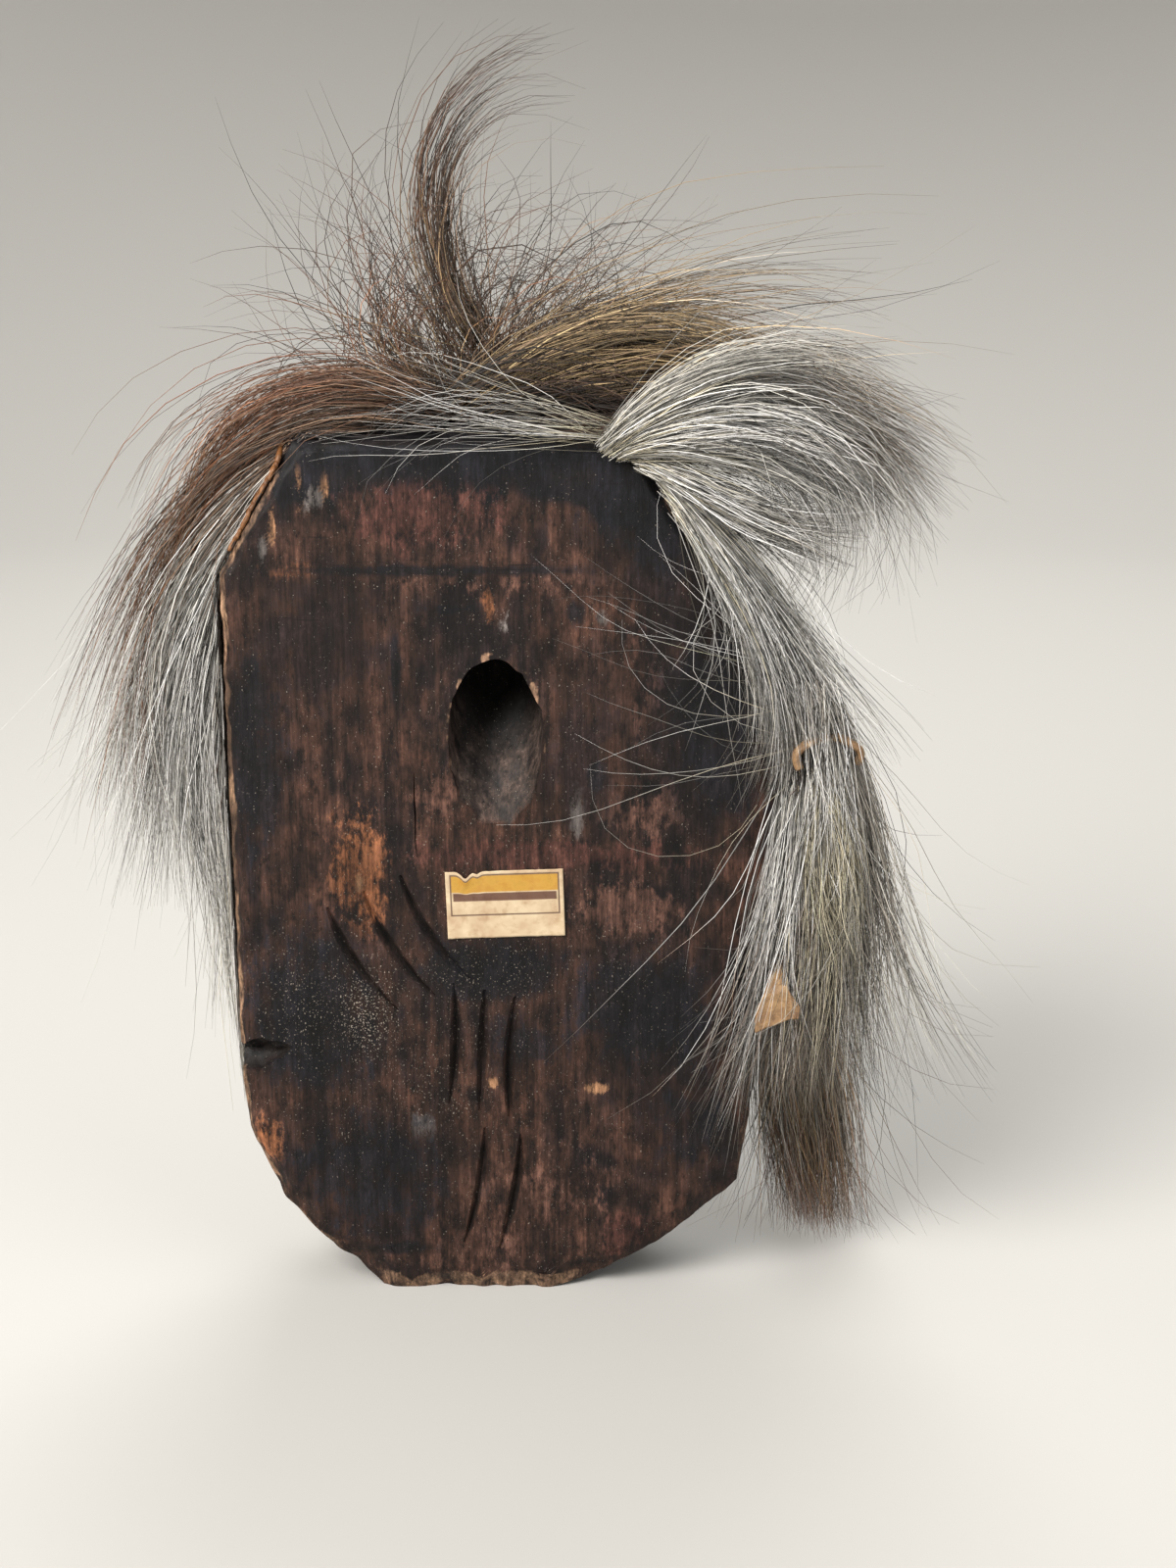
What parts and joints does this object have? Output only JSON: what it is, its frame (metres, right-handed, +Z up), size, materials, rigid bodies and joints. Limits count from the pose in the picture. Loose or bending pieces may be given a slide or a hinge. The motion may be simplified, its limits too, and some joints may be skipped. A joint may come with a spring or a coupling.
{
  "type": "wooden wall mask",
  "caption": "Carved wooden wall mask with a calm face, a flat back with a sloping peg socket and long goat-hair pelts round its rim.",
  "frame": {"origin": "a point on the flat underside, midway between the flat back and the front of the chin", "axes": "+Z up, -Y out of the flat back, +Y out of the carved face, +X to the right of a viewer who looks at the back"},
  "size_m": [0.253, 0.0931, 0.3285],
  "materials": {
    "dark_wood": "old hand-cut softwood, stained dark brown and blackened, worn lighter along its edges",
    "label_paper": "aged cream paper with a yellow band",
    "brown_white_hair": "long coarse goat hair, russet brown over white and grey",
    "blond_brown_hair": "long coarse goat hair, blond and brown",
    "white_hair": "long coarse goat hair, white with yellowish roots",
    "grey_white_hair": "long coarse goat hair, grey and white, on a loop of bare leather",
    "russet_grey_hair": "long coarse goat hair, brown-grey with russet tips"
  },
  "bodies": {
    "root": {"wood_block": "dark_wood", "paper_label": "label_paper", "pelt_left": "brown_white_hair", "pelt_top": "blond_brown_hair", "pelt_white": "white_hair", "pelt_right": "grey_white_hair", "pelt_tail": "russet_grey_hair"}
  },
  "joints": []
}
